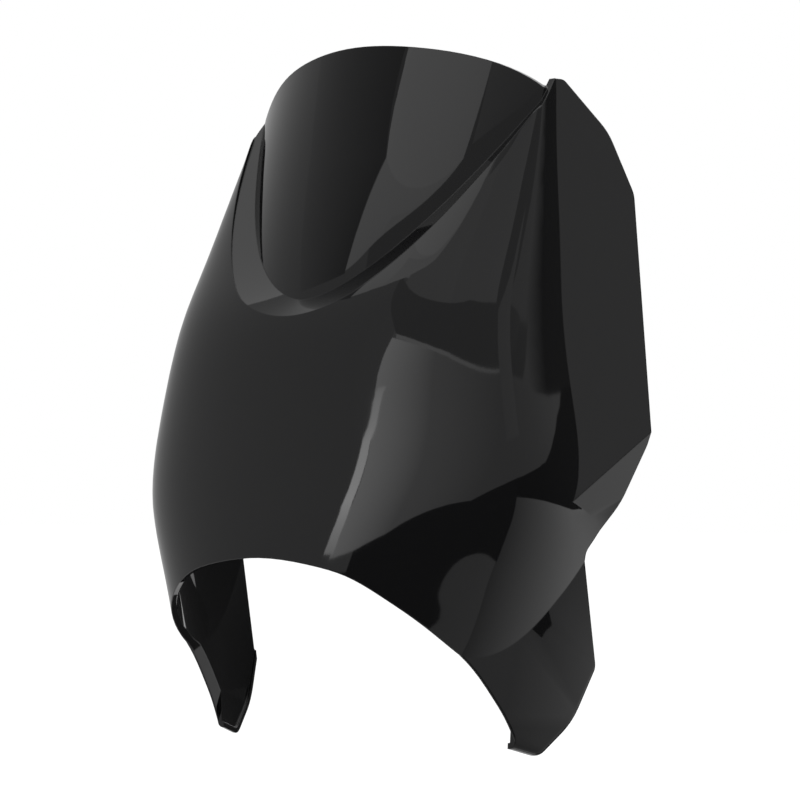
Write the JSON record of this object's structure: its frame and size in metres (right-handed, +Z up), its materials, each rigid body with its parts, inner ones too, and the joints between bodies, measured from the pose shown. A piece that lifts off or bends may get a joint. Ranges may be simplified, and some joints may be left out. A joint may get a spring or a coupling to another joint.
{
  "type": "motorbike headlight fairing",
  "caption": "Moulded headlight fairing with a raked screen in a lipped recess, an arched headlight opening, side wings, legs beside the headlight and threaded inserts inside.",
  "frame": {"origin": "centre of the round headlight opening, on the shell's mirror plane", "axes": "-Y to the front of the motorbike, +Z up, +X to the left of a rider; the shell mirrors itself in the plane X = 0"},
  "size_m": [0.2724, 0.1653, 0.3686],
  "materials": {
    "shell": "gloss black",
    "insert": "turned"
  },
  "bodies": {
    "root": {"fairing_shell": "shell", "threaded_inserts": "insert"}
  },
  "joints": []
}
